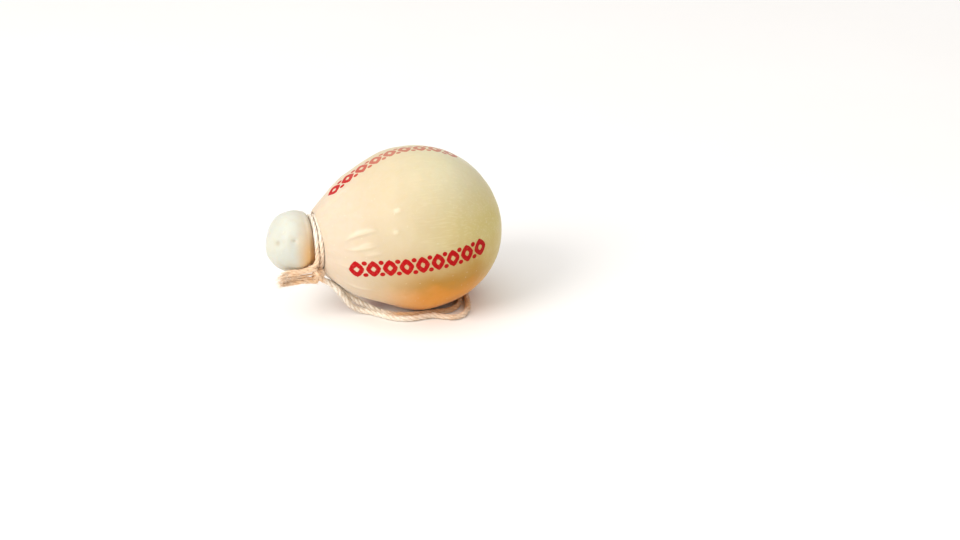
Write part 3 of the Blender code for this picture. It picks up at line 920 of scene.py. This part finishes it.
# Painted shade: the knot and the loose ends under the head are made browner, with a warm painted reflection,
# fading towards the tips. The twine under the blunt end and against the belly is darkened as painted shade.
knot_shade = nodes.math("MULTIPLY", nodes.ramp(x, -0.0555, -0.0640), nodes.ramp(z, 0.086, 0.060))
knot_shade = nodes.math("MULTIPLY", knot_shade, nodes.ramp(z, 0.047, 0.055, 1.0, 0.80))
knot_shade = nodes.math("MULTIPLY", knot_shade, nodes.ramp(x, -0.088, -0.100, 1.0, 0.45))
blunt_end_shade = nodes.ramp(x, -0.004, 0.060, 0.0, 0.70)
belly_contact_shade = nodes.math("MULTIPLY", nodes.ramp(y, -0.0425, -0.0360), nodes.ramp(x, -0.010, 0.012))
painted_twine_shade = nodes.math("MAXIMUM", nodes.math("MAXIMUM", knot_shade, blunt_end_shade),
                     nodes.math("MULTIPLY", belly_contact_shade, 1.6))
patchy = nodes.ramp(nodes.noise(given["Place"], 150, 2.0), 0.30, 0.60, 0.65, 1.0)
painted_twine_shade = nodes.math("MULTIPLY", nodes.math("MULTIPLY", painted_twine_shade, patchy), given["Strength"])
nodes.set(result["Colour"], nodes.mix(painted_twine_shade, given["Fibre"], TWINE_SHADE_TINT, blend="MULTIPLY"))
print("browning is a group of", len(twine_shade_group.nodes), "nodes")

# %% Twine material
TWINE_PALE = colour(254, 247, 234)
TWINE_TAN = colour(236, 214, 186)
TWINE_GROOVE_SHADE = colour(184, 144, 104)

twine_material, nodes, shader = new_material("twine")
uv = nodes.add("TexCoord").outputs["UV"]
place = nodes.add("TexCoord").outputs["Object"]
round_it = nodes.add("SeparateXYZ", ("Vector", uv)).outputs["Y"]
within_ply = nodes.math("FRACT", nodes.math("MULTIPLY", round_it, PLIES))
ply = nodes.math("ABSOLUTE", nodes.math("SUBTRACT", within_ply, 0.5))
groove = nodes.ramp(ply, 0.34, 0.5)
stretch = nodes.add("Mapping", ("Vector", uv), ("Scale", (5, 60, 1)), ("Rotation", (0, 0, 0.05)))
streaks = nodes.noise(stretch.outputs["Vector"], 1.0, 4.0, 0.65)
patches = nodes.noise(place, 120, 3.0)
tone = nodes.mix(nodes.ramp(streaks, 0.38, 0.72), TWINE_PALE, TWINE_TAN)
tone = nodes.mix(nodes.ramp(patches, 0.45, 0.75, 0.0, 0.5), tone, colour(230, 205, 172))
# Painted shade in the grooves where the plies meet.
tone = nodes.mix(nodes.math("MULTIPLY", groove, 0.42), tone, TWINE_GROOVE_SHADE)
# Painted shade at the knot, on the ends and under the cheese.
painted_twine_shade = nodes.add("Group", ("Place", place), ("Fibre", tone), ("Strength", 0.9), node_tree=twine_shade_group)
nodes.set(shader.inputs["Base Color"], painted_twine_shade.outputs["Colour"])
nodes.set(shader.inputs["Roughness"], nodes.ramp(streaks, 0.3, 0.7, 0.72, 0.92))
bump = nodes.add("Bump", ("Height", streaks), ("Strength", 0.65), ("Distance", 0.0003))
nodes.set(shader.inputs["Normal"], bump.outputs["Normal"])
shader.inputs["Sheen Weight"].default_value = 0.5
shader.inputs["Sheen Roughness"].default_value = 0.5

# %% Fibre material
fibre_material, nodes, shader = new_material("twine_fibre")
place = nodes.add("TexCoord").outputs["Object"]
tone = nodes.mix(nodes.ramp(nodes.noise(place, 400, 1.0), 0.35, 0.65), TWINE_PALE, TWINE_TAN)
# Painted shade at the knot, on the ends and under the cheese.
painted_twine_shade = nodes.add("Group", ("Place", place), ("Fibre", tone), ("Strength", 0.8), node_tree=twine_shade_group)
nodes.set(shader.inputs["Base Color"], painted_twine_shade.outputs["Colour"])
nodes.set(shader.inputs["Roughness"], nodes.ramp(nodes.noise(place, 700, 1.0), 0.3, 0.7, 0.6, 0.8))
for piece in laid:
    piece.data.materials.clear()
    piece.data.materials.append(twine_material)
for piece in hairy:
    piece.data.materials.clear()
    piece.data.materials.append(fibre_material)

# %% [markdown]
# ## Floor and light
# A pale, plain floor, and the soft light of a studio: a large lamp from the left, a white ceiling, and a
# little from the rest of the room.

# %% Floor
FLOOR_SIZE = 8

bpy.ops.object.select_all(action="DESELECT")
bpy.ops.mesh.primitive_plane_add(size=FLOOR_SIZE, location=(0, 0, 0))
floor = bpy.context.active_object
floor.name = "floor"
floor_material, nodes, shader = new_material("floor")
place = nodes.add("TexCoord").outputs["Object"]
nodes.set(shader.inputs["Base Color"],
          nodes.mix(nodes.noise(place, 3, 2.0), colour(248, 245, 242), colour(251, 249, 247)))
nodes.set(shader.inputs["Roughness"], nodes.ramp(nodes.noise(place, 40, 2.0), 0.3, 0.7, 0.75, 0.85))
floor.data.materials.append(floor_material)

# %% Lights
KEY_PLACE = (-1.12, -0.56, 0.98)
KEY_SIZE = 0.9
KEY_WATTS = 14.5
KEY_TINT = (1.0, 0.985, 0.965)
CEILING_STRENGTH = 1.7
CEILING_SPREAD = radians(100)       # a whole white ceiling, so its shadows are very soft
CEILING_TURN = (radians(10), radians(-15), 0)
ROOM_STRENGTH = 0.46
ROOM_TINT = (1.0, 0.99, 0.975, 1)
aim = (Vector((0, 0, 0.07)) - Vector(KEY_PLACE)).to_track_quat("-Z", "Y").to_euler()
bpy.ops.object.light_add(type="AREA", location=KEY_PLACE, rotation=aim)
key_light = bpy.context.active_object
key_light.name = "key_light"
key_light.data.shape = "DISK"
key_light.data.size = KEY_SIZE
key_light.data.energy = KEY_WATTS
key_light.data.color = KEY_TINT

bpy.ops.object.light_add(type="SUN", location=(0, 0, 2), rotation=CEILING_TURN)
ceiling = bpy.context.active_object
ceiling.name = "ceiling_light"
ceiling.data.energy = CEILING_STRENGTH
ceiling.data.angle = CEILING_SPREAD

room = bpy.data.worlds.new("room")
room.use_nodes = True
room.node_tree.nodes["Background"].inputs["Color"].default_value = ROOM_TINT
room.node_tree.nodes["Background"].inputs["Strength"].default_value = ROOM_STRENGTH
bpy.context.scene.world = room
bpy.context.scene.view_settings.view_transform = "Standard"
